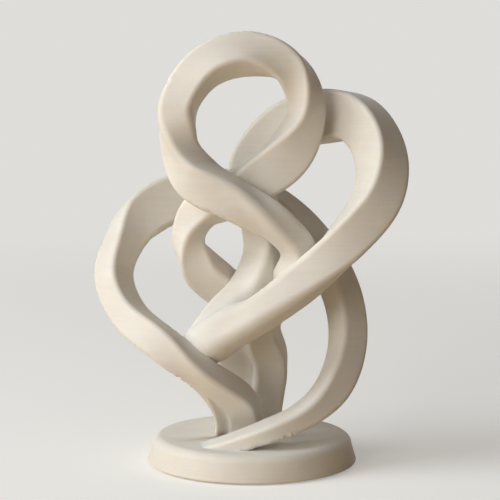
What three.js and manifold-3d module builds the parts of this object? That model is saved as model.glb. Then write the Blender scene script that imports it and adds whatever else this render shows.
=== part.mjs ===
import * as THREE from 'three';
import { mergeVertices } from 'three/addons/utils/BufferGeometryUtils.js';
import Module from 'manifold-3d';

const wasm = await Module();
wasm.setup();
const { Manifold, Mesh } = wasm;

// Every size is in millimetres. Z is up, X is to the viewer's right, Y runs away from the viewer.
// The origin is on the table, under the middle of the round plinth.

// Band work, measured between the middles of the bands:
// plinth top to the top of the ring, left bend to side loop, front foot to the arch behind
const RISE = 217.7;
const SPREAD = 151.5;
const DEPTH = 84;

// Usual side of the square band and usual radius of its edges
const BAND_WIDTH = 19;
const BAND_EDGE = 3;

// Plinth and the pad let into its underside
const BASE_RADIUS = 60;
const BASE_HEIGHT = 16;
const BASE_TOP_RADIUS = 52;
const SHOULDER_RADIUS = 57.5;
const SHOULDER_DROP = 5.5;
const RIM_ROUND = 1.2;
const RIM_LIFT = 0.8;
const PAD_RADIUS = 50;
const PAD_THICKNESS = 1.8;

// Clearance between neighbouring pieces
const FIT = 0.3;

// Dowels in the end joints and pins in the crossings
const DOWEL_RADIUS = 3;
const DOWEL_LENGTH = 20;
const DOWEL_CHAMFER = 0.8;
const PIN_RADIUS = 2;
const PIN_LENGTH = 13;
const PIN_CHAMFER = 0.5;

// Countersunk screws up through the plinth into the feet
const SCREW_RADIUS = 2;
const SCREW_BITE = 6.5;
const SCREW_POINT = 2;
const SCREW_HEAD_RADIUS = 4;
const SCREW_HEAD_HEIGHT = 2.4;
const SCREW_KEY_RADIUS = 1.5;
const SCREW_KEY_DEPTH = 1.4;

// Leaf-shaped hollow on the front of the left foot, whose tip is a share of its full section
const FLUTE_WIDTH = 7.5;
const FLUTE_DEPTH = 3;
const FLUTE_INSET = 5.2;
const FLUTE_START_STATION = 16.4;
const FLUTE_TIP_SHARE = 0.15;

// Fineness: length of a step along a band, and the steps round its edges and the round pieces
const STEP = 8.5;
const CORNER_STEPS = 3;
const FLUTE_STEPS = 8;
const SHOULDER_STEPS = 5;
const PLINTH_SIDES = 56;
const ROUND_SIDES = 16;
const KEY_SIDES = 6;

// Most of a band's lesser side that one edge radius may take
const EDGE_LIMIT_SHARE = 0.49;

// Stations of the three bands. Each row holds the middle of the band, its height taken above the plinth,
// then the way one of its faces looks, then its width and thickness as shares of the usual side
// and its edge radius as a share of the usual radius.

// Big outer band: front foot, right side, arch at the back, left side, left foot
const ARMS = [
  [-40, -24, -8.5, -0.3, -0.05, 0.95, 0.5, 0.45, 0.8],
  [-18, -33, -0.5, -0.35, -0.05, 0.93, 0.85, 0.47, 0.83],
  [6, -37, 8.5, -0.3, -0.1, 0.95, 0.97, 0.53, 0.83],
  [28.5, -29, 16.5, -0.4, -0.15, 0.9, 0.95, 0.66, 1],
  [45.5, -16, 29, -0.7, -0.15, 0.7, 0.95, 0.92, 1],
  [55, 2, 51.5, -0.85, -0.4, 0.4, 0.95, 0.95, 1],
  [53, 16, 76.5, -0.8, -0.6, 0.05, 0.97, 0.97, 1],
  [40, 29, 102, -0.7, -0.7, -0.1, 1, 1, 1],
  [21.5, 41, 122, -0.5, -0.85, -0.15, 1, 1, 1],
  [-1, 47, 135, -0.1, -0.95, -0.25, 1.05, 1, 1],
  [-28, 42, 138, 0, -0.95, 0.15, 1.32, 1, 1],
  [-61.4, 26, 124.8, -0.06, -1, 0.06, 1.45, 1, 1],
  [-74.5, 10, 107.8, 0.34, -0.92, -0.16, 0.98, 0.95, 1],
  [-79, 0, 91.5, 0.72, -0.69, 0, 0.96, 0.93, 1],
  [-70, -12, 71.8, 0.66, -0.38, 0.65, 0.9, 0.9, 1],
  [-48.8, -28, 56.2, 0.53, -0.05, 0.85, 0.97, 0.97, 1],
  [-27.6, -31, 40.7, 0.41, -0.64, 0.64, 0.8, 0.8, 1],
  [-9.8, -16, 20, 0.95, -0.17, 0.29, 0.95, 1.33, 1],
  [-7.5, 5, -3, 0.85, -0.52, 0.1, 0.97, 1.34, 1],
];

// Crown band: rear stem, crossing, ring at the top, inner curl, second rear foot
const CROWN = [
  [5.5, 25, -8, 1, 0, 0, 1, 1, 1],
  [9.5, 22, 20, 1, 0, 0, 1, 1, 1],
  [11.5, 16, 40, 1, -0.05, 0, 1, 1, 1],
  [6.5, 9, 61, 0.95, -0.3, 0.1, 0.95, 0.95, 1],
  [27, -5, 104, 0.58, -0.8, 0.15, 0.9, 0.9, 1],
  [15.3, -14, 121.3, 0.34, -0.86, 0.38, 0.93, 0.93, 1],
  [-7.5, -14, 135, 0.49, -0.22, 0.85, 1.12, 1.12, 1],
  [-31, -10, 148.5, 0.49, -0.37, 0.79, 1.2, 1.2, 1],
  [-40.8, -12, 166, 0.52, -0.84, 0.12, 0.9, 0.9, 1.2],
  [-41.5, -11.5, 175, 0.06, -1, 0.03, 1.13, 1.03, 1.7],
  [-41.6, -10, 188.5, -0.25, -0.96, 0, 1.04, 1.04, 1.15],
  [-26.8, -6, 209.8, -0.15, -0.85, 0.45, 1.06, 1.04, 1],
  [-3, -2, 217.7, 0.1, -0.85, 0.55, 1.1, 1.06, 1],
  [20.3, 0, 210.8, 0.05, -1, -0.05, 1.03, 1, 1],
  [31.2, 2, 187.5, -0.8, -0.6, 0, 0.88, 0.88, 1],
  [20.5, 6, 160.5, -0.65, -0.12, 0.75, 1.1, 1.4, 1],
  [-3.5, 8, 142, -0.5, -0.1, 0.86, 1.1, 1.25, 1],
  [-29.5, 4, 128.5, -0.25, -0.95, 0.2, 1.05, 1, 1],
  [-36.5, 4, 112.5, -0.83, -0.55, 0, 0.77, 0.77, 1],
  [-29.5, 9, 95.5, -0.69, 0.36, -0.62, 0.95, 1.14, 1],
  [-11.5, 17, 76, -0.7, 0.3, -0.65, 0.95, 1.12, 1],
  [-7, 23, 44, -1, 0.1, 0, 1, 1, 1],
  [-10, 27.5, 16, -1, 0.1, 0, 1, 1, 1],
  [-12, 29, -6, -1, 0.1, 0, 1, 1, 1],
];

// Side loop: nose, slanting front run, right side, top, run behind the ring, back down to the nose
const LOOP = [
  [-40, -19, 46.5, -0.45, -0.75, 0.45, 0.42, 0.42, 1.17],
  [-36, -20, 49, -0.4, -0.8, 0.5, 0.74, 0.74, 1.5],
  [-26, -21, 54.5, -0.45, -0.8, 0.45, 0.97, 0.97, 2],
  [-11, -25, 64, -0.45, -0.8, 0.45, 1.03, 1.03, 2.33],
  [10, -26.5, 77.5, -0.3, -0.85, 0.45, 1.03, 1.03, 2],
  [32.5, -23, 94.5, -0.1, -0.95, 0.35, 1.11, 1.11, 1.33],
  [54.5, -19, 115.5, 0.15, -1, 0.15, 1.21, 1.16, 1],
  [71, -12, 138.5, 0.45, -0.9, 0.2, 1.24, 1.21, 1],
  [72.5, 0, 162.5, 0.65, -0.5, 0.55, 1.24, 1.24, 1],
  [60, 14, 180.6, 0.35, -0.12, 0.95, 1.21, 1.4, 1],
  [38.5, 28, 181, -0.15, 0.2, 0.97, 1.16, 1.64, 1],
  [13.5, 36, 171.5, -0.6, 0.2, 0.8, 1.11, 1.34, 1],
  [-2, 34, 148.5, -0.95, 0.25, 0.05, 1.03, 1.16, 1],
  [6, 23, 121.5, -0.75, 0.5, -0.4, 1.03, 1.1, 1],
  [8, 14, 102.5, -0.7, 0.65, -0.25, 1.03, 1.17, 1.17],
  [-2, -1, 81.5, -0.75, 0.7, 0, 1.03, 1.28, 1.67],
  [-18.5, -13, 68.5, -0.7, 0.65, 0.2, 1, 1.05, 2.33],
  [-26.5, -20, 55.5, -0.7, 0.65, 0.2, 0.84, 0.84, 2.33],
];

// Stations at which a band is divided into pieces
const ARCH_JOINT_STATION = 9.8;
const STEM_JOINT_STATION = 3.3;
const CURL_JOINT_STATION = 16.15;
const LOOP_JOINT_STATION = 10.4;

// Colours
const IVORY = { color: 0xe6ddcd, roughness: 0.62, metalness: 0 };
const FELT = { color: 0x3a3632, roughness: 0.95, metalness: 0 };
const BEECH = { color: 0xc9a36b, roughness: 0.7, metalness: 0 };
const STEEL = { color: 0x9a9c9e, roughness: 0.35, metalness: 0.9 };

const UP = new THREE.Vector3(0, 0, 1);

function solid(geometry) {
  geometry.deleteAttribute('normal');
  geometry.deleteAttribute('uv');
  const merged = mergeVertices(geometry, 1e-4);
  const corners = merged.index.array;
  const kept = [];
  for (let i = 0; i < corners.length; i += 3) {
    const [a, b, c] = corners.slice(i, i + 3);
    if (a !== b && b !== c && c !== a) {
      kept.push(a, b, c);
    }
  }
  const vertProperties = new Float32Array(merged.attributes.position.array);
  const triVerts = new Uint32Array(kept);
  return new Manifold(new Mesh({ numProp: 3, vertProperties, triVerts }));
}

function largest(body) {
  const parts = body.decompose();
  return parts.reduce((best, part) => (part.volume() > best.volume() ? part : best));
}

function piece(name, body, look) {
  const shape = body.getMesh();
  const geometry = new THREE.BufferGeometry();
  geometry.setAttribute('position', new THREE.BufferAttribute(new Float32Array(shape.vertProperties), 3));
  geometry.setIndex(new THREE.BufferAttribute(new Uint32Array(shape.triVerts), 1));
  geometry.computeVertexNormals();
  const mesh = new THREE.Mesh(geometry, new THREE.MeshStandardMaterial(look));
  mesh.name = name;
  return mesh;
}

// Stretch that brings the stations to the spread, depth and rise asked for
const rows = [...ARMS, ...CROWN, ...LOOP];
const highest = (column) => Math.max(...rows.map((row) => row[column]));
const lowest = (column) => Math.min(...rows.map((row) => row[column]));
const stretch = new THREE.Vector3(
  SPREAD / (highest(0) - lowest(0)),
  DEPTH / (highest(1) - lowest(1)),
  RISE / highest(2),
);

function band(stations) {
  const middles = stations.map(([x, y, z]) => new THREE.Vector3(x, y, z).multiply(stretch));
  const faces = stations.map((row) => new THREE.Vector3(...row.slice(3, 6)));
  const usual = new THREE.Vector3(BAND_WIDTH, BAND_WIDTH, BAND_EDGE);
  const sizes = stations.map((row) => new THREE.Vector3(...row.slice(6)).multiply(usual));
  middles.forEach((middle) => middle.addScaledVector(UP, BASE_HEIGHT));
  return {
    last: stations.length - 1,
    path: new THREE.CatmullRomCurve3(middles, false, 'centripetal'),
    face: new THREE.CatmullRomCurve3(faces, false, 'catmullrom'),
    size: new THREE.CatmullRomCurve3(sizes, false, 'catmullrom'),
  };
}

// Middle, direction, face direction, sideways direction and size of a band at one station
function stationOf(ribbon, index) {
  const at = ribbon.path.getPoint(index / ribbon.last);
  const along = ribbon.path.getTangent(index / ribbon.last);
  const face = ribbon.face.getPoint(index / ribbon.last);
  face.addScaledVector(along, -face.dot(along)).normalize();
  const side = new THREE.Vector3().crossVectors(face, along);
  const [width, thickness, edge] = ribbon.size.getPoint(index / ribbon.last).toArray();
  return { at, along, face, side, width, thickness, edge };
}

// Rectangle with four rounded corners
function outline(width, thickness, edge) {
  const radius = Math.min(edge, EDGE_LIMIT_SHARE * Math.min(width, thickness));
  const quarter = Math.PI / 2;
  const points = [];
  for (let corner = 0; corner < 4; corner += 1) {
    const middle = (corner + 0.5) * quarter;
    const centreX = Math.sign(Math.cos(middle)) * (width / 2 - radius);
    const centreY = Math.sign(Math.sin(middle)) * (thickness / 2 - radius);
    for (let step = 0; step <= CORNER_STEPS; step += 1) {
      const angle = (corner + step / CORNER_STEPS) * quarter;
      points.push([centreX + radius * Math.cos(angle), centreY + radius * Math.sin(angle)]);
    }
  }
  return points;
}

// Skin over a row of cross-sections, closed by flat ends
function skin(rings) {
  const count = rings[0].length;
  const positions = rings.flat().flatMap((point) => point.toArray());
  const faces = [];
  for (let ring = 0; ring + 1 < rings.length; ring += 1) {
    for (let i = 0; i < count; i += 1) {
      const a = ring * count + i;
      const b = ring * count + (i + 1) % count;
      faces.push(a, b, b + count, a, b + count, a + count);
    }
  }
  const top = (rings.length - 1) * count;
  for (let i = 1; i + 1 < count; i += 1) {
    faces.push(0, i + 1, i, top, top + i, top + i + 1);
  }
  const geometry = new THREE.BufferGeometry();
  geometry.setAttribute('position', new THREE.Float32BufferAttribute(positions, 3));
  geometry.setIndex(faces);
  return geometry;
}

function section(station, grow, shift) {
  const { at, along, face, side, width, thickness, edge } = station;
  return outline(width + 2 * grow, thickness + 2 * grow, edge + grow).map(([x, y]) => (
    at.clone().addScaledVector(side, x).addScaledVector(face, y).addScaledVector(along, shift)
  ));
}

// One length of a band, grown on every side when it is used to cut a seat in a neighbour
function lengthOf(ribbon, from, to, grow) {
  const reach = ribbon.path.getLength() * (to - from) / ribbon.last;
  const count = Math.ceil(reach / STEP);
  const rings = [];
  for (let i = 0; i <= count; i += 1) {
    const station = stationOf(ribbon, from + (to - from) * i / count);
    const shift = i === 0 ? -grow : i === count ? grow : 0;
    rings.push(section(station, grow, shift));
  }
  return solid(skin(rings));
}

function turned(profile, sides) {
  const geometry = new THREE.LatheGeometry(profile.map(([r, z]) => new THREE.Vector2(r, z)), sides);
  return geometry.rotateX(Math.PI / 2);
}

const arms = band(ARMS);
const crown = band(CROWN);
const loop = band(LOOP);

// Room below the plinth's top, wider than the plinth, which trims every foot flat
const below = BASE_HEIGHT + RISE;
const room = new THREE.CylinderGeometry(SPREAD, SPREAD, below, ROUND_SIDES);
room.rotateX(Math.PI / 2).translate(0, 0, BASE_HEIGHT + FIT - below / 2);

// Pieces in the order they are fitted: each later one is seated against those before it
const lengths = [
  ['left_arm', arms, ARCH_JOINT_STATION, arms.last],
  ['right_arm', arms, 0, ARCH_JOINT_STATION],
  ['crown_ring', crown, STEM_JOINT_STATION, CURL_JOINT_STATION],
  ['side_loop_front', loop, 0, LOOP_JOINT_STATION],
  ['side_loop_back', loop, LOOP_JOINT_STATION, loop.last],
  ['rear_stem', crown, 0, STEM_JOINT_STATION],
  ['inner_curl', crown, CURL_JOINT_STATION, crown.last],
];
const bodies = {};
const fitted = [solid(room)];
for (const [name, ribbon, from, to] of lengths) {
  const seated = fitted.reduce((body, other) => body.subtract(other), lengthOf(ribbon, from, to, 0));
  bodies[name] = largest(seated);
  fitted.push(lengthOf(ribbon, from, to, FIT));
}

// Hollow that opens from a narrow tip, is full by half its way and runs down the front of the left foot
function flute() {
  const rings = [];
  for (let step = 0; step <= FLUTE_STEPS; step += 1) {
    const way = step / FLUTE_STEPS;
    const opening = Math.sin(Math.min(2 * way, 1) * Math.PI / 2);
    const share = FLUTE_TIP_SHARE + (1 - FLUTE_TIP_SHARE) * opening;
    const station = stationOf(arms, FLUTE_START_STATION + (arms.last - FLUTE_START_STATION) * way);
    const inset = station.thickness / 2 - FLUTE_INSET;
    station.at.addScaledVector(station.face, -inset).addScaledVector(station.side, -station.width / 2);
    station.width = 2 * FLUTE_DEPTH * share;
    station.thickness = FLUTE_WIDTH * share;
    station.edge = station.thickness;
    rings.push(section(station, 0, 0));
  }
  return solid(skin(rings));
}
bodies.left_arm = largest(bodies.left_arm.subtract(flute()));

// Round peg with chamfered ends
function peg(radius, reach, chamfer) {
  const half = reach / 2;
  return turned([
    [0, -half],
    [radius - chamfer, -half],
    [radius, -half + chamfer],
    [radius, half - chamfer],
    [radius - chamfer, half],
    [0, half],
  ], ROUND_SIDES);
}

// Peg set on a point and along a direction, with its hole in both neighbours
const joinery = new THREE.Group();
function join(name, pair, at, along, radius, reach, chamfer) {
  const mesh = piece(name, solid(peg(radius, reach, chamfer)), BEECH);
  mesh.position.copy(at);
  mesh.quaternion.setFromUnitVectors(UP, along);
  joinery.add(mesh);
  const hole = peg(radius + FIT, reach + 2 * FIT, chamfer);
  hole.applyQuaternion(mesh.quaternion).translate(at.x, at.y, at.z);
  for (const neighbour of pair) {
    bodies[neighbour] = bodies[neighbour].subtract(solid(hole.clone()));
  }
}

// Dowels along the band where two lengths meet end to end
const dowels = [
  ['arch_dowel', ['left_arm', 'right_arm'], arms, ARCH_JOINT_STATION],
  ['stem_dowel', ['rear_stem', 'crown_ring'], crown, STEM_JOINT_STATION],
  ['curl_dowel', ['crown_ring', 'inner_curl'], crown, CURL_JOINT_STATION],
  ['loop_dowel', ['side_loop_front', 'side_loop_back'], loop, LOOP_JOINT_STATION],
];
for (const [name, pair, ribbon, index] of dowels) {
  const { at, along } = stationOf(ribbon, index);
  join(name, pair, at, along, DOWEL_RADIUS, DOWEL_LENGTH, DOWEL_CHAMFER);
}

// Pins across the places where one band lies on another, on the line from a station of the one
// to a station of the other, with the share of that line at which the two meet
const pins = [
  ['crossing_pin', ['crown_ring', 'inner_curl'], crown, 6.3, crown, 16.85, 0.69],
  ['front_pin', ['crown_ring', 'side_loop_front'], crown, 4, loop, 4.95, 0.45],
  ['back_pin', ['right_arm', 'side_loop_back'], arms, 9.1, loop, 12.2, 0.72],
  ['left_pin', ['left_arm', 'side_loop_front'], arms, 15.6, loop, 2.1, 0.52],
  ['nose_pin', ['side_loop_front', 'side_loop_back'], loop, 3, loop, 16, 0.75],
];
for (const [name, pair, ribbon, index, otherRibbon, otherIndex, share] of pins) {
  const start = stationOf(ribbon, index).at;
  const end = stationOf(otherRibbon, otherIndex).at;
  const along = end.clone().sub(start).normalize();
  const middle = start.lerp(end, share);
  join(name, pair, middle, along, PIN_RADIUS, PIN_LENGTH, PIN_CHAMFER);
}

// Plinth with a soft shoulder, and a recess for the pad below
const ceiling = PAD_THICKNESS + FIT;
const recess = PAD_RADIUS + FIT;
const profile = [
  [0, ceiling],
  [recess, ceiling],
  [recess, RIM_LIFT],
  [BASE_RADIUS - RIM_ROUND, RIM_LIFT],
  [BASE_RADIUS, RIM_LIFT + RIM_ROUND],
];
for (let step = 0; step <= SHOULDER_STEPS; step += 1) {
  const angle = step / SHOULDER_STEPS * Math.PI / 2;
  const r = BASE_TOP_RADIUS + (SHOULDER_RADIUS - BASE_TOP_RADIUS) * Math.cos(angle);
  const z = BASE_HEIGHT - SHOULDER_DROP * (1 - Math.sin(angle));
  profile.push([r, z]);
}
profile.push([0, BASE_HEIGHT]);
let plinth = solid(turned(profile, PLINTH_SIDES));

// Countersunk screw, and the wider hole for it, which opens into the pad's recess
const headFace = ceiling + FIT;
function screw(grow) {
  const neck = headFace + SCREW_HEAD_HEIGHT;
  const tip = BASE_HEIGHT + SCREW_BITE + grow;
  return turned([
    [0, headFace - 2 * grow],
    [SCREW_HEAD_RADIUS + grow, headFace - 2 * grow],
    [SCREW_HEAD_RADIUS + grow, headFace],
    [SCREW_RADIUS + grow, neck],
    [SCREW_RADIUS + grow, tip - SCREW_POINT],
    [0, tip],
  ], ROUND_SIDES);
}

// Screws, each below a station of the foot that it holds
const screws = [
  ['right_arm_screw', 'right_arm', arms, 1.35],
  ['left_arm_screw', 'left_arm', arms, 17.6],
  ['rear_stem_screw', 'rear_stem', crown, 0.35],
  ['inner_curl_screw', 'inner_curl', crown, 22.6],
];
const key = new THREE.CylinderGeometry(SCREW_KEY_RADIUS, SCREW_KEY_RADIUS, 2 * SCREW_KEY_DEPTH, KEY_SIDES);
key.rotateX(Math.PI / 2).translate(0, 0, headFace);
const screwBody = solid(screw(0)).subtract(solid(key));
const screwHole = solid(screw(FIT));
for (const [name, foot, ribbon, index] of screws) {
  const { at } = stationOf(ribbon, index);
  const mesh = piece(name, screwBody, STEEL);
  mesh.position.set(at.x, at.y, 0);
  joinery.add(mesh);
  const hole = screwHole.translate(mesh.position.toArray());
  plinth = plinth.subtract(hole);
  bodies[foot] = bodies[foot].subtract(hole);
}

const base = new THREE.Group();
const pad = new THREE.CylinderGeometry(PAD_RADIUS, PAD_RADIUS, PAD_THICKNESS, PLINTH_SIDES);
const padMesh = piece('base_pad', solid(pad.rotateX(Math.PI / 2)), FELT);
padMesh.position.z = PAD_THICKNESS / 2;
base.add(piece('base_plinth', plinth, IVORY), padMesh);

const bands = new THREE.Group();
for (const [name] of lengths) {
  bands.add(piece(name, bodies[name], IVORY));
}

const sculpture = new THREE.Group();
sculpture.name = 'infinity_sculpture';
sculpture.add(base, bands, joinery);

export default sculpture;
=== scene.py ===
import math

import bmesh
import bpy
import numpy as np
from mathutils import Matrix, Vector
from mathutils.bvhtree import BVHTree


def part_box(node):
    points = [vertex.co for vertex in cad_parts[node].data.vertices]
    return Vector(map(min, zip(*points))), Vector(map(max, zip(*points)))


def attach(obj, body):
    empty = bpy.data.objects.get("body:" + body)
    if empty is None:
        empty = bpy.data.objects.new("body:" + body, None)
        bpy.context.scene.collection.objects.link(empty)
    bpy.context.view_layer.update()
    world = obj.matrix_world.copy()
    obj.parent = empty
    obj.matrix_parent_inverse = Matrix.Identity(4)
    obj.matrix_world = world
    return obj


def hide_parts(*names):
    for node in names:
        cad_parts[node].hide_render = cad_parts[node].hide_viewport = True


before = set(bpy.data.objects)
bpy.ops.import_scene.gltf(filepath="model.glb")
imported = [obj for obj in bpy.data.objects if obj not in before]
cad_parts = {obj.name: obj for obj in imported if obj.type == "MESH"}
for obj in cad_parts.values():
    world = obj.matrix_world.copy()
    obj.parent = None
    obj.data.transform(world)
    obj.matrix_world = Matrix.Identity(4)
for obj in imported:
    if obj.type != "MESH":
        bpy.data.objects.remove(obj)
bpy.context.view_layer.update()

# Infinity sculpture: three twisting bands, interlaced on a round plinth.
# Sizes are millimetres unless a comment says otherwise, and everything that is made is in metres.
MM = 0.001
PLINTH_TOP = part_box("base_plinth")[1].z

# Usual side of the square band, usual radius of its edges, and the most that an edge takes of a side
BAND_WIDTH = 19.0
BAND_EDGE = 3.0
EDGE_LIMIT_SHARE = 0.49

# Sanding off every face, the gap that shows as a hairline where one piece is seated on another,
# and the play round pegs and screws
SANDED = 0.2
SEAT_GAP = 0.03
PEG_PLAY_SHARE = 0.04

# Fineness of the swept bands: step along the band, steps round an edge and across a face
STEP = 0.8
EDGE_STEPS = 6
FACE_STEPS = 16
HOLLOW_FACE_STEPS = 36

# How far along the band its path, and its twist and sizes, are evened out. A band is sampled a number
# of times between stations to find its length, and then at even steps.
SAMPLES_PER_STATION = 60
SAMPLE_STEP = 0.5
PATH_BLUR = 3.0
SHAPE_BLUR = 6.0
BLUR_REACH = 3

# Faces that meet at a larger angle than this, in degrees, keep a sharp edge.
SHARP_ANGLE = 38

# Points nearer together than this, in metres, count as one.
SAME_PLACE = 1e-6

# Stations of the bands: middle (height above the plinth), way one face looks,
# width and thickness as shares of the usual side, edge radius as a share of the usual radius.

# Big outer band: front foot, right side, arch at the back, left side, left foot
ARMS = [
    [-40, -24, -8.5, -0.3, -0.05, 0.95, 0.5, 0.45, 0.8],
    [-18, -33, -0.5, -0.35, -0.05, 0.93, 0.85, 0.47, 0.83],
    [6, -37, 8.5, -0.3, -0.1, 0.95, 0.97, 0.53, 0.83],
    [28.5, -29, 16.5, -0.4, -0.15, 0.9, 0.95, 0.66, 1],
    [45.5, -16, 29, -0.7, -0.15, 0.7, 0.95, 0.92, 1],
    [55, 2, 51.5, -0.85, -0.4, 0.4, 0.95, 0.95, 1],
    [53, 16, 76.5, -0.8, -0.6, 0.05, 0.97, 0.97, 1],
    [40, 29, 102, -0.7, -0.7, -0.1, 1, 1, 1],
    [21.5, 41, 122, -0.5, -0.85, -0.15, 1, 1, 1],
    [-1, 47, 135, -0.1, -0.95, -0.25, 1.05, 1, 1],
    [-28, 42, 138, 0, -0.95, 0.15, 1.32, 1, 1],
    [-61.4, 26, 124.8, -0.06, -1, 0.06, 1.45, 1, 1],
    [-74.5, 10, 107.8, 0.34, -0.92, -0.16, 0.98, 0.95, 1],
    [-79, 0, 91.5, 0.72, -0.69, 0, 0.96, 0.93, 1],
    [-70, -12, 71.8, 0.66, -0.38, 0.65, 0.9, 0.9, 1],
    [-48.8, -28, 56.2, 0.53, -0.05, 0.85, 0.97, 0.97, 1],
    [-27.6, -31, 40.7, 0.41, -0.64, 0.64, 0.8, 0.8, 1],
    [-9.8, -16, 20, 0.95, -0.17, 0.29, 0.95, 1.33, 1],
    [-7.5, 5, -3, 0.85, -0.52, 0.1, 0.97, 1.34, 1],
]

# Crown band: rear stem, crossing, ring at the top, inner curl, second rear foot.
# The ring's left side stands up to 4 mm further back than in the solids, for the light on it.
CROWN = [
    [5.5, 25, -8, 1, 0, 0, 1, 1, 1],
    [9.5, 22, 20, 1, 0, 0, 1, 1, 1],
    [11.5, 16, 40, 1, -0.05, 0, 1, 1, 1],
    [6.5, 9, 61, 0.95, -0.3, 0.1, 0.95, 0.95, 1],
    [27, -5, 104, 0.58, -0.8, 0.15, 0.9, 0.9, 1],
    [15.3, -14, 121.3, 0.34, -0.86, 0.38, 0.93, 0.93, 1.6],
    [-7.5, -14, 135, 0.49, -0.22, 0.85, 1.12, 1.12, 1.6],
    [-31, -10, 148.5, 0.49, -0.37, 0.79, 1.2, 1.2, 1],
    [-40.8, -8, 166, 0.52, -0.84, 0.12, 0.9, 0.9, 1.2],
    [-41.5, -7.5, 175, 0.06, -1, 0.03, 1.13, 1.03, 1.7],
    [-41.6, -6.5, 188.5, -0.25, -0.96, 0, 1.04, 1.04, 1.15],
    [-26.8, -4.5, 209.8, -0.15, -0.85, 0.45, 1.06, 1.04, 1],
    [-3, -2, 217.7, 0.1, -0.85, 0.55, 1.1, 1.06, 1],
    [20.3, 0, 210.8, 0.05, -1, -0.05, 1.03, 1, 1],
    [31.2, 2, 187.5, -0.8, -0.6, 0, 0.88, 0.88, 1],
    [20.5, 6, 160.5, -0.65, -0.12, 0.75, 1.1, 1.4, 1],
    [-3.5, 8, 142, -0.5, -0.1, 0.86, 1.1, 1.25, 1],
    [-29.5, 4, 128.5, -0.25, -0.95, 0.2, 1.05, 1, 1],
    [-36.5, 4, 112.5, -0.83, -0.55, 0, 0.77, 0.77, 1],
    [-29.5, 9, 95.5, -0.69, 0.36, -0.62, 0.95, 1.14, 1],
    [-11.5, 17, 76, -0.7, 0.3, -0.65, 0.95, 1.12, 1],
    [-9, 23, 44, -1, 0.1, 0, 1, 1.2, 1],
    [-10, 27.5, 16, -1, 0.1, 0, 1, 1, 1],
    [-12, 29, -6, -1, 0.1, 0, 1, 1, 1],
]

# Side loop: nose, slanting front run, right side, top, run behind the ring, back down to the nose
LOOP = [
    [-40, -19, 46.5, -0.45, -0.75, 0.45, 0.42, 0.42, 1.17],
    [-36, -20, 49, -0.4, -0.8, 0.5, 0.74, 0.74, 1.5],
    [-26, -21, 54.5, -0.45, -0.8, 0.45, 0.97, 0.97, 2],
    [-11, -25, 64, -0.45, -0.8, 0.45, 1.03, 1.03, 2.33],
    [10, -26.5, 77.5, -0.3, -0.85, 0.45, 1.03, 1.03, 2],
    [32.5, -23, 94.5, -0.1, -0.95, 0.35, 1.11, 1.11, 1.33],
    [54.5, -19, 115.5, 0.15, -1, 0.15, 1.21, 1.16, 1],
    [71, -12, 138.5, 0.45, -0.9, 0.2, 1.24, 1.21, 1],
    [72.5, 0, 162.5, 0.65, -0.5, 0.55, 1.24, 1.24, 1],
    [60, 14, 180.6, 0.35, -0.12, 0.95, 1.21, 1.4, 1],
    [38.5, 28, 181, -0.15, 0.2, 0.97, 1.16, 1.64, 1],
    [13.5, 36, 171.5, -0.6, 0.2, 0.8, 1.11, 1.34, 1],
    [-2, 34, 148.5, -0.95, 0.25, 0.05, 1.03, 1.16, 1],
    [6, 23, 121.5, -0.75, 0.5, -0.4, 1.03, 1.1, 1],
    [8, 14, 102.5, -0.7, 0.65, -0.25, 1.03, 1.17, 1.17],
    [-2, -1, 81.5, -0.75, 0.7, 0, 1.03, 1.28, 1.67],
    [-18.5, -13, 68.5, -0.7, 0.65, 0.2, 1, 1.05, 2.33],
    [-26.5, -20, 55.5, -0.7, 0.65, 0.2, 0.84, 0.84, 2.33],
]

# Stations at which a band is divided into pieces
ARCH_JOINT_STATION = 9.8
STEM_JOINT_STATION = 3.3
CURL_JOINT_STATION = 16.15
LOOP_JOINT_STATION = 10.4

# Leaf-shaped hollow down the front of the left foot: a slow slope from the left rim, a steep wall
# at the right. It opens from a narrow tip to its full width between two stations.
HOLLOW_START_STATION = 16.35
HOLLOW_FULL_STATION = 17.1
HOLLOW_WIDTH = 8.2
HOLLOW_DEPTH = 3.3
HOLLOW_INSET = 5.0
HOLLOW_WALL_SHARE = 0.24
HOLLOW_TIP_SHARE = 0.12
HOLLOW_SLOPE_POWER = 1.5

# Edges left ragged by the making: first and last station, which edge (sideways and face side),
# and depth of the bites
RAGGED = {
    "crown_ring": [(5.15, 6.75, 1, -1, 0.9), (10.25, 10.6, 1, 1, 0.8), (11.5, 12.4, 1, 1, 0.5)],
    "left_arm": [(15.45, 16.0, -1, -1, 1.0)],
    "right_arm": [(1.45, 2.7, -1, -1, 1.0)],
}
RAGGED_REACH = 3.6
RAGGED_SEED = 7

# Soft hollows where two bands run into each other: reach of the one at the nose and of the one by the stem.
# The nose's reach shrinks from left to right between two places, and beyond them the corner is sharp.
# Skin already inside the neighbour follows over a share of the reach. The seam is drawn across edges of the
# mesh that pass through the neighbour's skin, unless the distance to it changes along one by more than
# two steps. The moves onto the hollow are held short where the two skins look opposite ways.
NOSE_REACH = 14.0
NOSE_SHARP_REACH = 2.0
NOSE_SOFT_X = -10.0
NOSE_SHARP_X = 14.0
STEM_REACH = 7.0
BURIED_SHARE = 0.2
SEAM_STEPS = 2
SOFTEN_STEPS = 7
LEAST_SLOPE_SQUARED = 0.25

# Plinth and pad: radius at which the shoulder starts, its roundness, the rounded foot rim,
# the play round the pad and the pad's pressed edge
SHOULDER_START_RADIUS = 52.0
SHOULDER_ROUND = 5.5
FOOT_RIM = 1.2
PAD_PLAY = 0.3
PAD_ROUND = 0.5
PLINTH_SIDES = 224
SHOULDER_STEPS = 14
RIM_STEPS = 5

# Cylinder wider than the sculpture that trims the feet flat at the plinth's top: radius and depth, sides
TRIM_SIZE = 200.0
TRIM_SIDES = 32

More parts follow.
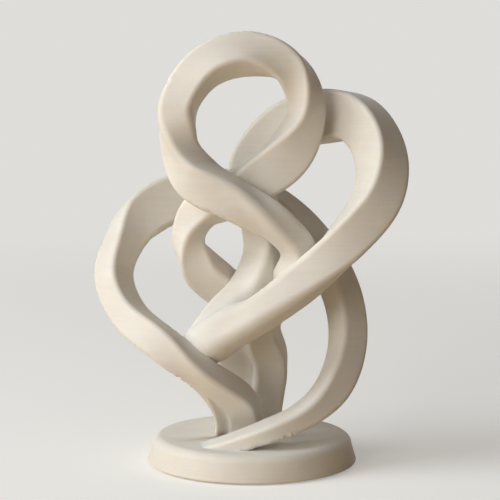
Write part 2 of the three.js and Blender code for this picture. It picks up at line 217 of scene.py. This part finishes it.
# Pieces that each peg or screw goes into
HOLES = {
    "arch_dowel": ("left_arm", "right_arm"),
    "stem_dowel": ("rear_stem", "crown_ring"),
    "curl_dowel": ("crown_ring", "inner_curl"),
    "loop_dowel": ("side_loop_front", "side_loop_back"),
    "crossing_pin": ("crown_ring", "inner_curl"),
    "front_pin": ("crown_ring", "side_loop_front"),
    "back_pin": ("right_arm", "side_loop_back"),
    "left_pin": ("left_arm", "side_loop_front"),
    "nose_pin": ("side_loop_front", "side_loop_back"),
    "right_arm_screw": ("base_plinth", "right_arm"),
    "left_arm_screw": ("base_plinth", "left_arm"),
    "rear_stem_screw": ("base_plinth", "rear_stem"),
    "inner_curl_screw": ("base_plinth", "inner_curl"),
}

# Tones of each material, from dark to light, and where on its texture each lies
IVORY_TONES = [(0.30, (0.765, 0.728, 0.665)), (0.52, (0.790, 0.757, 0.697)), (0.72, (0.812, 0.783, 0.727))]
FELT_TONES = [(0.30, (0.030, 0.027, 0.024)), (0.55, (0.050, 0.045, 0.040)), (0.78, (0.095, 0.088, 0.080))]
BEECH_TONES = [(0.30, (0.44, 0.27, 0.12)), (0.52, (0.58, 0.38, 0.19)), (0.75, (0.66, 0.46, 0.26))]
STEEL_TONES = [(0.1, (0.50, 0.50, 0.52)), (0.6, (0.56, 0.56, 0.57)), (0.9, (0.62, 0.62, 0.61))]

# Usual range of a texture
TEXTURE_LOW = 0.3
TEXTURE_HIGH = 0.7

# Studio, in metres: pale floor that fades into an even backdrop. The light that floor and backdrop throw
# on the sculpture is dim and warm.
BACKDROP = (0.735, 0.725, 0.705, 1)
FLOOR = (0.72, 0.71, 0.69, 1)
FLOOR_GLOW = 0.46
FLOOR_BOUNCE = (0.80, 0.60, 0.38, 1)
AMBIENT = (0.060, 0.047, 0.034, 1)
FLOOR_HALF = 8
FADE_FROM = 0.35
FADE_TO = 1.3

# Lamps, in metres and watts: place, size, power and colour. They look at the middle of the sculpture.
LAMP_TARGET = (0, 0, 0.12)
LAMPS = {
    "key": ((-2.40, -0.62, 1.80), 2.0, 61, (0.94, 0.985, 1.0)),
    "fill": ((-1.72, -2.30, 0.95), 2.0, 40, (1.0, 0.975, 0.94)),
    "back": ((1.30, 2.60, 1.30), 2.4, 9, (1.0, 0.92, 0.82)),
}

# Camera fitted to the photo's view: place in metres, tilt in degrees
CAMERA_PLACE = (-0.0011, -1.0, 0.240)
CAMERA_PITCH = -6.70
CAMERA_LENS = 127.08
SENSOR = 36.0


def spline(points, at, centripetal):
    """Places on a smooth open curve through points, at station numbers."""
    points = np.asarray(points, float)
    padded = np.vstack([2 * points[0] - points[1], points, 2 * points[-1] - points[-2]])
    span = np.clip(np.floor(at).astype(int), 0, len(points) - 2)
    part = (at - span)[:, None]
    before, start, end, after = (padded[span + offset] for offset in range(4))
    if centripetal:
        gaps = [np.linalg.norm(two - one, axis=1, keepdims=True) ** 0.5
                for one, two in ((before, start), (start, end), (end, after))]
        leave = (start - before) / gaps[0] - (end - before) / (gaps[0] + gaps[1])
        arrive = (after - end) / gaps[2] - (after - start) / (gaps[1] + gaps[2])
        leave = gaps[1] * leave + end - start
        arrive = gaps[1] * arrive + end - start
    else:
        leave = (end - before) / 2
        arrive = (after - start) / 2
    square = 3 * (end - start) - 2 * leave - arrive
    cube = 2 * (start - end) + leave + arrive
    return start + part * (leave + part * (square + part * cube))


def unit(vectors):
    """Rows of vectors scaled to length one."""
    return vectors / np.linalg.norm(vectors, axis=1, keepdims=True)


def outline(width, thickness, edge, face_steps):
    """Rectangle with rounded corners, with points along its faces as well."""
    radius = min(edge, EDGE_LIMIT_SHARE * min(width, thickness))
    corners = []
    for corner in range(4):
        middle = (corner + 0.5) * math.pi / 2
        centre = np.array([math.copysign(width / 2 - radius, math.cos(middle)),
                           math.copysign(thickness / 2 - radius, math.sin(middle))])
        angles = (corner + np.arange(EDGE_STEPS + 1) / EDGE_STEPS) * math.pi / 2
        corners.append(centre + radius * np.stack([np.cos(angles), np.sin(angles)], 1))
    points = []
    for corner, rounded in enumerate(corners):
        following = corners[(corner + 1) % 4][0]
        shares = np.arange(1, face_steps)[:, None] / face_steps
        points.append(rounded)
        points.append(rounded[-1] + shares * (following - rounded[-1]))
    return np.vstack(points)


def evened(values, blur, about_end):
    """Values along a band averaged with their neighbours; the ends keep their place if turned about."""
    reach = int(BLUR_REACH * blur / SAMPLE_STEP)
    offsets = np.arange(-reach, reach + 1) * SAMPLE_STEP
    weights = np.exp(-0.5 * (offsets / blur) ** 2)
    before = values[reach:0:-1]
    after = values[-2:-reach - 2:-1]
    if about_end:
        before = 2 * values[0] - before
        after = 2 * values[-1] - after
    padded = np.vstack([before, values, after])
    columns = [np.convolve(column, weights / weights.sum(), "valid") for column in padded.T]
    return np.stack(columns, 1)


class Band:
    """Path, twist and sizes of a whole band, sampled evenly along its length, in millimetres."""

    def __init__(self, rows):
        rows = np.asarray(rows, float)
        rough = np.linspace(0, len(rows) - 1, SAMPLES_PER_STATION * len(rows))
        steps = np.linalg.norm(np.diff(spline(rows[:, :3], rough, True), axis=0), axis=1)
        travelled = np.concatenate([[0], np.cumsum(steps)])
        self.end = len(rows) - 1
        self.travel = np.arange(0, travelled[-1], SAMPLE_STEP)
        self.stations = np.interp(self.travel, travelled, rough)
        self.middles = evened(spline(rows[:, :3], self.stations, True), PATH_BLUR, True)
        self.faces = evened(unit(spline(rows[:, 3:6], self.stations, False)), SHAPE_BLUR, False)
        sizes = spline(rows[:, 6:9], self.stations, False) * (BAND_WIDTH, BAND_WIDTH, BAND_EDGE)
        self.sizes = evened(sizes, SHAPE_BLUR, False)

    def sections(self, start, end):
        """Stations, middles, along, sideways and face directions and sizes between two stations."""
        first, last = np.interp((start, end), self.stations, self.travel)
        at = np.linspace(first, last, int(math.ceil((last - first) / STEP)) + 1)
        ways = np.gradient(self.middles, axis=0)
        pick = [np.stack([np.interp(at, self.travel, column) for column in values.T], 1)
                for values in (self.middles, ways, self.faces, self.sizes)]
        middles, along, faces, sizes = pick
        along = unit(along)
        faces = unit(faces - np.sum(faces * along, 1, keepdims=True) * along)
        stations = np.interp(at, self.travel, self.stations)
        return stations, middles, along, np.cross(faces, along), faces, sizes


def mesh_object(name, points, faces):
    """New object in the scene with a mesh of points and faces."""
    mesh = bpy.data.meshes.new(name)
    mesh.from_pydata([tuple(point) for point in points], [], faces)
    mesh.update()
    made = bpy.data.objects.new(name, mesh)
    bpy.context.scene.collection.objects.link(made)
    return made


def tube_faces(rings, count):
    """Quads between rows of count points, with both ends closed."""
    faces = []
    for ring in range(rings - 1):
        for column in range(count):
            here = ring * count + column
            beside = ring * count + (column + 1) % count
            faces.append((here, beside, beside + count, here + count))
    last = (rings - 1) * count
    faces.append(tuple(range(count))[::-1])
    faces.append(tuple(range(last, last + count)))
    return faces


def foot_hollow(shape, station, width, thickness):
    """Presses the leaf-shaped hollow into the front of the left foot's cross-section."""
    opening = (station - HOLLOW_START_STATION) / (HOLLOW_FULL_STATION - HOLLOW_START_STATION)
    if opening <= 0:
        return shape
    share = HOLLOW_TIP_SHARE + (1 - HOLLOW_TIP_SHARE) * math.sin(min(opening, 1) * math.pi / 2)
    across = HOLLOW_WIDTH * share
    rim = HOLLOW_INSET - across / 2
    part = np.clip((shape[:, 1] + thickness / 2 - rim) / across, 0, 1)
    slope = np.sin(np.minimum(part / (1 - HOLLOW_WALL_SHARE), 1) * math.pi / 2)
    wall = np.cos(np.clip((part - 1) / HOLLOW_WALL_SHARE + 1, 0, 1) * math.pi / 2)
    depth = HOLLOW_DEPTH * share * slope ** HOLLOW_SLOPE_POWER * wall
    pressed = shape.copy()
    pressed[:, 0] += np.where(shape[:, 0] < -width / 4, depth, 0)
    return pressed


def bitten(shape, station, width, thickness, ragged, bite):
    """Nibbles one edge of a cross-section where the band's edge is ragged."""
    for first, last, sideways, facing, depth in ragged:
        if first < station < last:
            corner = np.array([sideways * width / 2, facing * thickness / 2])
            away = np.linalg.norm(shape - corner, axis=1)
            near = np.clip(1 - away / RAGGED_REACH, 0, 1)[:, None]
            shape = shape - near * depth * bite * unit(corner[None])
    return shape


def band_length(name, band, start, end, grow, carve=None, ragged=()):
    """One length of a band as a closed mesh, grown on every side or, below nought, shrunk."""
    face_steps = HOLLOW_FACE_STEPS if carve else FACE_STEPS
    rings = []
    sections = list(zip(*band.sections(start, end)))
    bites = np.random.default_rng(RAGGED_SEED).uniform(-1, 1, len(sections))
    for i, (station, middle, along, side, face, (width, thickness, edge)) in enumerate(sections):
        shape = outline(width + 2 * grow, thickness + 2 * grow, edge + grow, face_steps)
        if carve:
            shape = carve(shape, station, width, thickness)
        shape = bitten(shape, station, width, thickness, ragged, bites[i])
        shift = -grow if i == 0 else grow if i == len(sections) - 1 else 0.0
        rings.append(middle + shift * along + shape[:, :1] * side + shape[:, 1:] * face)
    points = np.vstack(rings) * MM + (0, 0, PLINTH_TOP)
    return mesh_object(name, points, tube_faces(len(rings), len(rings[0])))


def apply_modifiers(piece):
    """Replaces a piece's mesh by what its modifiers make of it."""
    shown = piece.evaluated_get(bpy.context.evaluated_depsgraph_get())
    mesh = bpy.data.meshes.new_from_object(shown)
    piece.modifiers.clear()
    old = piece.data
    piece.data = mesh
    bpy.data.meshes.remove(old)


def cut(piece, cutter):
    """Takes the cutter's space out of a piece."""
    step = piece.modifiers.new("cut", "BOOLEAN")
    step.operation = "DIFFERENCE"
    step.solver = "MANIFOLD"
    step.object = cutter
    apply_modifiers(piece)


def remove(piece):
    """Deletes an object that was needed only for cutting."""
    mesh = piece.data
    bpy.data.objects.remove(piece)
    bpy.data.meshes.remove(mesh)


def keep_largest(piece):
    """Leaves only the largest of the separate bodies in a mesh."""
    work = bmesh.new()
    work.from_mesh(piece.data)
    left = set(work.verts)
    bodies = []
    while left:
        queue = [left.pop()]
        body = set(queue)
        while queue:
            for link in queue.pop().link_edges:
                for vert in link.verts:
                    if vert in left:
                        left.remove(vert)
                        body.add(vert)
                        queue.append(vert)
        bodies.append(body)
    bodies.sort(key=len)
    stray = [vert for body in bodies[:-1] for vert in body]
    bmesh.ops.delete(work, geom=stray, context="VERTS")
    work.to_mesh(piece.data)
    work.free()


def shade(piece):
    """Smooth faces, with sharp edges kept."""
    piece.data.polygons.foreach_set("use_smooth", [True] * len(piece.data.polygons))
    piece.data.set_sharp_from_angle(angle=math.radians(SHARP_ANGLE))
    piece.data.update()


class Skin:
    """Closed surface that can tell how far a point is from it and which way it looks there."""

    def __init__(self, piece):
        self.points = [vertex.co.copy() for vertex in piece.data.vertices]
        self.ways = [vertex.normal.copy() for vertex in piece.data.vertices]
        self.faces = [tuple(polygon.vertices) for polygon in piece.data.polygons]
        self.tree = BVHTree.FromPolygons(self.points, self.faces)

    def look(self, point):
        """Distance, negative inside, and the smooth outward direction at the nearest place."""
        place, flat, index, distance = self.tree.find_nearest(point)
        way = Vector((0, 0, 0))
        for corner in self.faces[index]:
            way += self.ways[corner] / max((place - self.points[corner]).length, SAME_PLACE)
        side = 1 if (point - place).dot(flat) >= 0 else -1
        return side * distance, way.normalized()


def draw_seam(piece, other):
    """Adds a line of edges to a piece's skin where its neighbour's skin comes out of it."""
    work = bmesh.new()
    work.from_mesh(piece.data)
    gaps = {vert: other.look(vert.co)[0] for vert in work.verts}
    line = []
    for edge in list(work.edges):
        one, two = edge.verts
        if gaps[one] * gaps[two] < 0 and abs(gaps[one] - gaps[two]) < SEAM_STEPS * STEP * MM:
            _, vert = bmesh.utils.edge_split(edge, one, gaps[one] / (gaps[one] - gaps[two]))
            gaps[vert] = 0.0
            line.append(vert)
    bmesh.ops.connect_verts(work, verts=line)
    work.to_mesh(piece.data)
    work.free()


def soften_corner(piece, own, other, reach):
    """Draws a piece's skin out onto the smooth surface that joins it to its neighbour's; seats stay."""
    for vertex in piece.data.vertices:
        start = vertex.co.copy()
        gap = other.look(start)[0]
        buried = reach(start) * BURIED_SHARE
        if not -buried < gap < reach(start) or abs(own.look(start)[0]) > SEAT_GAP / 2 * MM:
            continue
        place = start.copy()
        for _ in range(SOFTEN_STEPS):
            near, near_way = own.look(place)
            far, far_way = other.look(place)
            radius = reach(place)
            share = min(max(0.5 + (near - far) / radius / 2, 0), 1)
            level = near + (far - near) * share - radius * share * (1 - share)
            way = near_way.lerp(far_way, share)
            place -= way * (level / max(way.length_squared, LEAST_SLOPE_SQUARED))
        vertex.co = start.lerp(place, min(1 + gap / buried, 1))
    piece.data.update()


def nose_reach(place):
    """Reach of the soft hollow at the nose, which shrinks to the right."""
    part = (place.x / MM - NOSE_SOFT_X) / (NOSE_SHARP_X - NOSE_SOFT_X)
    part = min(max(part, 0), 1)
    return (NOSE_REACH + (NOSE_SHARP_REACH - NOSE_REACH) * part) * MM


def stem_reach(place):
    """Reach of the soft hollow by the stem, the same everywhere."""
    return STEM_REACH * MM


def turned(name, profile, sides):
    """Solid of revolution about Z; the profile starts and ends on the axis."""
    angles = np.arange(sides) / sides * 2 * math.pi
    points = [(0.0, 0.0, profile[0][1])]
    for radius, height in profile[1:-1]:
        points.extend((radius * math.cos(angle), radius * math.sin(angle), height) for angle in angles)
    points.append((0.0, 0.0, profile[-1][1]))
    rings = len(profile) - 2
    faces = []
    for here in range(sides):
        beside = (here + 1) % sides
        faces.append((0, 1 + beside, 1 + here))
        for ring in range(rings - 1):
            first = 1 + ring * sides
            above = first + sides
            faces.append((first + here, first + beside, above + beside, above + here))
        last = 1 + (rings - 1) * sides
        faces.append((last + here, last + beside, len(points) - 1))
    return mesh_object(name, points, faces)


def make_bands():
    """Every length of band, seated on those before it, trimmed flat on the plinth and softened."""
    arms = Band(ARMS)
    crown = Band(CROWN)
    loop = Band(LOOP)
    lengths = [
        ("left_arm", arms, ARCH_JOINT_STATION, arms.end),
        ("right_arm", arms, 0, ARCH_JOINT_STATION),
        ("crown_ring", crown, STEM_JOINT_STATION, CURL_JOINT_STATION),
        ("side_loop_front", loop, 0, LOOP_JOINT_STATION),
        ("side_loop_back", loop, LOOP_JOINT_STATION, loop.end),
        ("rear_stem", crown, 0, STEM_JOINT_STATION),
        ("inner_curl", crown, CURL_JOINT_STATION, crown.end),
    ]
    carved = {"left_arm": foot_hollow}
    soft_corners = [
        ("side_loop_front", "side_loop_back", nose_reach),
        ("rear_stem", "inner_curl", stem_reach),
    ]
    trim = TRIM_SIZE * MM
    profile = [(0, -trim), (trim, -trim), (trim, PLINTH_TOP), (0, PLINTH_TOP)]
    cutters = [turned("cutter", profile, TRIM_SIDES)]
    made = {}
    skins = {}
    for name, band, start, end in lengths:
        carve = carved.get(name)
        ragged = RAGGED.get(name, ())
        piece = band_length(name + "_band", band, start, end, -SANDED, carve, ragged)
        skins[name] = Skin(piece)
        for cutter in cutters:
            cut(piece, cutter)
        keep_largest(piece)
        made[name] = piece
        cutters.append(band_length("cutter", band, start, end, SEAT_GAP - SANDED))
    for cutter in cutters:
        remove(cutter)
    for one, two, reach in soft_corners:
        draw_seam(made[one], skins[two])
        soften_corner(made[one], skins[one], skins[two], reach)
        soften_corner(made[two], skins[two], skins[one], reach)
    return made


def arc(centre, radius, start, end, steps):
    """Points on part of a circle, from one angle to another in degrees."""
    angles = np.radians(np.linspace(start, end, steps + 1))
    across, up = centre
    return [(across + radius * math.cos(angle), up + radius * math.sin(angle)) for angle in angles]


def make_plinth():
    """Turned plinth with a soft shoulder, a rounded foot rim and the recess for the pad."""
    pad_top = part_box("base_pad")[1]
    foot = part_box("base_plinth")[0].z
    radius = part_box("base_plinth")[1].x
    recess = pad_top.x + PAD_PLAY * MM
    ceiling = pad_top.z + PAD_PLAY * MM
    rim = FOOT_RIM * MM
    shoulder = SHOULDER_ROUND * MM
    profile = [(0, ceiling), (recess, ceiling), (recess, foot)]
    profile += arc((radius - rim, foot + rim), rim, -90, 0, RIM_STEPS)
    profile += arc((SHOULDER_START_RADIUS * MM, PLINTH_TOP - shoulder), shoulder, 0, 90, SHOULDER_STEPS)
    profile += [(0, PLINTH_TOP)]
    return turned("base_plinth_turned", profile, PLINTH_SIDES)


def make_pad():
    """Felt disc with softly pressed edges."""
    low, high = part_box("base_pad")
    pressed = PAD_ROUND * MM
    profile = [(0, low.z)]
    profile += arc((high.x - pressed, low.z + pressed), pressed, -90, 0, RIM_STEPS)
    profile += arc((high.x - pressed, high.z - pressed), pressed, 0, 90, RIM_STEPS)
    profile += [(0, high.z)]
    return turned("base_pad_felt", profile, PLINTH_SIDES)


def peg_cutter(node):
    """Welded copy of a peg or screw, a little larger all round."""
    cutter = mesh_object("cutter", [], [])
    work = bmesh.new()
    work.from_mesh(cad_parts[node].data)
    bmesh.ops.remove_doubles(work, verts=work.verts, dist=SAME_PLACE)
    low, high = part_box(node)
    middle = (low + high) / 2
    for vert in work.verts:
        vert.co = middle + (vert.co - middle) * (1 + PEG_PLAY_SHARE)
    work.to_mesh(cutter.data)
    work.free()
    return cutter


def drill_holes(pieces):
    """Holes for the pegs and screws; what would be left in a screw's slot is taken out of the plinth."""
    for node, neighbours in HOLES.items():
        cutter = peg_cutter(node)
        for neighbour in neighbours:
            cut(pieces[neighbour], cutter)
        remove(cutter)
    keep_largest(pieces["base_plinth"])


class Nodes:
    """Node tree under construction: adds nodes, sets their sockets and links them."""

    def __init__(self, tree):
        self.tree = tree

    def add(self, kind, settings=None, **sockets):
        """New node with its settings and the values or links of its sockets."""
        node = self.tree.nodes.new(kind)
        for name, value in (settings or {}).items():
            setattr(node, name, value)
        for name, value in sockets.items():
            self.feed(node.inputs[name.replace("_", " ")], value)
        return node

    def feed(self, socket, value):
        """Links an output to a socket, or sets a plain value on it."""
        if isinstance(value, bpy.types.NodeSocket):
            self.tree.links.new(value, socket)
        else:
            socket.default_value = value

    def joined(self, operation, one, two):
        """Two outputs put together by an operation of arithmetic."""
        node = self.add("ShaderNodeMath", {"operation": operation})
        self.feed(node.inputs[0], one)
        self.feed(node.inputs[1], two)
        return node.outputs["Value"]

    def mixed(self, factor, one, two):
        """One shader where the factor is nought, the other where it is one."""
        node = self.add("ShaderNodeMixShader", Fac=factor)
        self.feed(node.inputs[1], one)
        self.feed(node.inputs[2], two)
        return node.outputs["Shader"]

    def ramp(self, factor, stops):
        """Colour ramp through stops of place and colour."""
        node = self.add("ShaderNodeValToRGB", Fac=factor)
        elements = node.color_ramp.elements
        while len(elements) < len(stops):
            elements.new(0.5)
        for element, (place, colour) in zip(elements, stops):
            element.position = place
            element.color = (*colour, 1)
        return node.outputs["Color"]

    def scaled(self, factor, low, high):
        """Factor stretched from its usual range to a low and a high value."""
        node = self.add("ShaderNodeMapRange", Value=factor, From_Min=TEXTURE_LOW, From_Max=TEXTURE_HIGH,
                        To_Min=low, To_Max=high)
        return node.outputs["Result"]


def new_material(name):
    """Material, its nodes, its shader and places on the object."""
    material = bpy.data.materials.new(name)
    material.use_nodes = True
    nodes = Nodes(material.node_tree)
    shader = material.node_tree.nodes["Principled BSDF"]
    place = nodes.add("ShaderNodeTexCoord").outputs["Object"]
    return material, nodes, shader, place


def make_ivory():
    """Matte ivory plastic: clouded colour, level layers with faint streaks, a slight grain."""
    material, nodes, shader, place = new_material("ivory")
    cloud = nodes.add("ShaderNodeTexNoise", Vector=place, Scale=26.0, Detail=4.0, Roughness=0.55)
    speck = nodes.add("ShaderNodeTexNoise", Vector=place, Scale=700.0, Detail=2.0, Roughness=0.6)
    layers = nodes.add("ShaderNodeTexWave", {"bands_direction": "Z"}, Vector=place, Scale=520.0,
                       Distortion=1.2, Detail=2.0, Detail_Scale=0.02)
    drawn_out = nodes.add("ShaderNodeMapping", Vector=place, Scale=(0.03, 0.03, 1.0))
    streaks = nodes.add("ShaderNodeTexNoise", Vector=drawn_out.outputs["Vector"], Scale=760.0, Detail=3.0,
                        Roughness=0.65)
    tint = nodes.joined("ADD", nodes.scaled(cloud.outputs["Fac"], 0.0, 0.74),
                        nodes.scaled(streaks.outputs["Fac"], 0.0, 0.26))
    nodes.feed(shader.inputs["Base Color"], nodes.ramp(tint, IVORY_TONES))
    nodes.feed(shader.inputs["Roughness"], nodes.scaled(speck.outputs["Fac"], 0.50, 0.66))
    grain = nodes.add("ShaderNodeBump", Height=speck.outputs["Fac"], Strength=0.20, Distance=0.00010)
    level = nodes.add("ShaderNodeBump", Height=layers.outputs["Fac"], Strength=0.22, Distance=0.00006,
                      Normal=grain.outputs["Normal"])
    banded = nodes.add("ShaderNodeBump", Height=streaks.outputs["Fac"], Strength=0.30, Distance=0.00026,
                       Normal=level.outputs["Normal"])
    nodes.feed(shader.inputs["Normal"], banded.outputs["Normal"])
    shader.inputs["Specular IOR Level"].default_value = 0.35
    shader.inputs["Subsurface Weight"].default_value = 0.30
    shader.inputs["Subsurface Radius"].default_value = (1.0, 0.62, 0.36)
    shader.inputs["Subsurface Scale"].default_value = 0.004
    return material


def make_felt():
    """Dark pressed felt: tangled fibres, lighter flecks, a soft sheen."""
    material, nodes, shader, place = new_material("felt")
    tangle = nodes.add("ShaderNodeTexNoise", Vector=place, Scale=900.0, Detail=6.0, Roughness=0.75,
                       Distortion=2.0)
    cloud = nodes.add("ShaderNodeTexNoise", Vector=place, Scale=60.0, Detail=3.0)
    flecks = nodes.joined("MULTIPLY", tangle.outputs["Fac"], nodes.scaled(cloud.outputs["Fac"], 0.8, 1.15))
    nodes.feed(shader.inputs["Base Color"], nodes.ramp(flecks, FELT_TONES))
    nodes.feed(shader.inputs["Roughness"], nodes.scaled(tangle.outputs["Fac"], 0.85, 1.0))
    bump = nodes.add("ShaderNodeBump", Height=tangle.outputs["Fac"], Strength=0.7, Distance=0.0004)
    nodes.feed(shader.inputs["Normal"], bump.outputs["Normal"])
    shader.inputs["Sheen Weight"].default_value = 0.3
    return material


def make_beech():
    """Plain beech: long grain with short dark flecks."""
    material, nodes, shader, place = new_material("beech")
    stretch = nodes.add("ShaderNodeMapping", Vector=place, Scale=(1.0, 1.0, 0.12))
    grain = nodes.add("ShaderNodeTexNoise", Vector=stretch.outputs["Vector"], Scale=900.0, Detail=5.0)
    flecks = nodes.add("ShaderNodeTexVoronoi", Vector=stretch.outputs["Vector"], Scale=1400.0)
    figure = nodes.joined("MULTIPLY", grain.outputs["Fac"],
                          nodes.scaled(flecks.outputs["Distance"], 0.85, 1.1))
    nodes.feed(shader.inputs["Base Color"], nodes.ramp(figure, BEECH_TONES))
    nodes.feed(shader.inputs["Roughness"], nodes.scaled(grain.outputs["Fac"], 0.55, 0.75))
    bump = nodes.add("ShaderNodeBump", Height=figure, Strength=0.3, Distance=0.0001)
    nodes.feed(shader.inputs["Normal"], bump.outputs["Normal"])
    return material


def make_steel():
    """Zinc-plated steel: pale spangle with fine turning marks."""
    material, nodes, shader, place = new_material("steel")
    spangle = nodes.add("ShaderNodeTexVoronoi", Vector=place, Scale=900.0)
    marks = nodes.add("ShaderNodeTexWave", {"bands_direction": "Z"}, Vector=place, Scale=600.0,
                      Distortion=0.5)
    nodes.feed(shader.inputs["Base Color"], nodes.ramp(spangle.outputs["Distance"], STEEL_TONES))
    nodes.feed(shader.inputs["Roughness"], nodes.scaled(spangle.outputs["Distance"], 0.28, 0.42))
    bump = nodes.add("ShaderNodeBump", Height=marks.outputs["Fac"], Strength=0.15, Distance=0.00005)
    nodes.feed(shader.inputs["Normal"], bump.outputs["Normal"])
    shader.inputs["Metallic"].default_value = 1.0
    return material


def dress(piece, material):
    """Gives a piece one material."""
    piece.data.materials.clear()
    piece.data.materials.append(material)


def seen_directly(nodes):
    """One where a ray comes from the camera or by way of a mirror or glass, else nought."""
    path = nodes.add("ShaderNodeLightPath").outputs
    mirrored = nodes.joined("MAXIMUM", path["Is Camera Ray"], path["Is Glossy Ray"])
    return nodes.joined("MAXIMUM", mirrored, path["Is Transmission Ray"])


def make_floor():
    """Pale floor that holds the shadow near the sculpture and fades into the backdrop further off."""
    half = FLOOR_HALF
    floor = mesh_object("floor", [(-half, -half, 0), (half, -half, 0), (half, half, 0), (-half, half, 0)],
                        [(0, 1, 2, 3)])
    material = bpy.data.materials.new("floor")
    material.use_nodes = True
    material.node_tree.nodes.clear()
    nodes = Nodes(material.node_tree)
    place = nodes.add("ShaderNodeTexCoord").outputs["Object"]
    distance = nodes.add("ShaderNodeVectorMath", {"operation": "LENGTH"}, Vector=place)
    fade = nodes.add("ShaderNodeMapRange", {"interpolation_type": "SMOOTHSTEP"},
                     Value=distance.outputs["Value"], From_Min=FADE_FROM, From_Max=FADE_TO)
    lit = nodes.add("ShaderNodeBsdfDiffuse", Color=FLOOR)
    glow = nodes.add("ShaderNodeEmission", Color=BACKDROP, Strength=FLOOR_GLOW)
    near = nodes.add("ShaderNodeAddShader")
    nodes.feed(near.inputs[0], lit.outputs["BSDF"])
    nodes.feed(near.inputs[1], glow.outputs["Emission"])
    far = nodes.add("ShaderNodeEmission", Color=BACKDROP, Strength=1.0)
    shown = nodes.mixed(fade.outputs["Result"], near.outputs["Shader"], far.outputs["Emission"])
    bounce = nodes.add("ShaderNodeBsdfDiffuse", Color=FLOOR_BOUNCE)
    surface = nodes.mixed(seen_directly(nodes), bounce.outputs["BSDF"], shown)
    nodes.add("ShaderNodeOutputMaterial", Surface=surface)
    dress(floor, material)


def make_world():
    """Even pale backdrop, which lights the sculpture only dimly."""
    world = bpy.data.worlds.new("studio")
    bpy.context.scene.world = world
    world.use_nodes = True
    world.node_tree.nodes.clear()
    nodes = Nodes(world.node_tree)
    ambient = nodes.add("ShaderNodeBackground", Color=AMBIENT)
    backdrop = nodes.add("ShaderNodeBackground", Color=BACKDROP)
    direct = seen_directly(nodes)
    surface = nodes.mixed(direct, ambient.outputs["Background"], backdrop.outputs["Background"])
    nodes.add("ShaderNodeOutputWorld", Surface=surface)


def make_lamp(name, place, size, watts, colour):
    """Round soft lamp that looks at the sculpture."""
    data = bpy.data.lights.new(name, "AREA")
    data.shape = "DISK"
    data.size = size
    data.energy = watts
    data.color = colour
    lamp = bpy.data.objects.new(name, data)
    bpy.context.scene.collection.objects.link(lamp)
    lamp.location = place
    lamp.rotation_euler = (Vector(LAMP_TARGET) - Vector(place)).to_track_quat("-Z", "Y").to_euler()
    lamp.visible_camera = False


def make_camera():
    """Level camera, tipped down a little, at the photo's place."""
    data = bpy.data.cameras.new("camera")
    data.lens = CAMERA_LENS
    data.sensor_width = SENSOR
    camera = bpy.data.objects.new("camera", data)
    bpy.context.scene.collection.objects.link(camera)
    camera.location = CAMERA_PLACE
    camera.rotation_euler = (math.radians(90 + CAMERA_PITCH), 0, 0)
    bpy.context.scene.camera = camera


# The sculpture
pieces = make_bands()
pieces["base_plinth"] = make_plinth()
drill_holes(pieces)
pieces["base_pad"] = make_pad()
for node, piece in pieces.items():
    shade(piece)
    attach(piece, "root")
    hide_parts(node)

# Its materials; the pegs and screws are the solids themselves
ivory = make_ivory()
felt = make_felt()
beech = make_beech()
steel = make_steel()
for node, piece in pieces.items():
    dress(piece, felt if node == "base_pad" else ivory)
for node in HOLES:
    dress(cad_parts[node], steel if node.endswith("screw") else beech)

# The studio
make_floor()
make_world()
make_camera()
for name, (place, size, watts, colour) in LAMPS.items():
    make_lamp(name, place, size, watts, colour)
bpy.context.scene.view_settings.view_transform = "Standard"
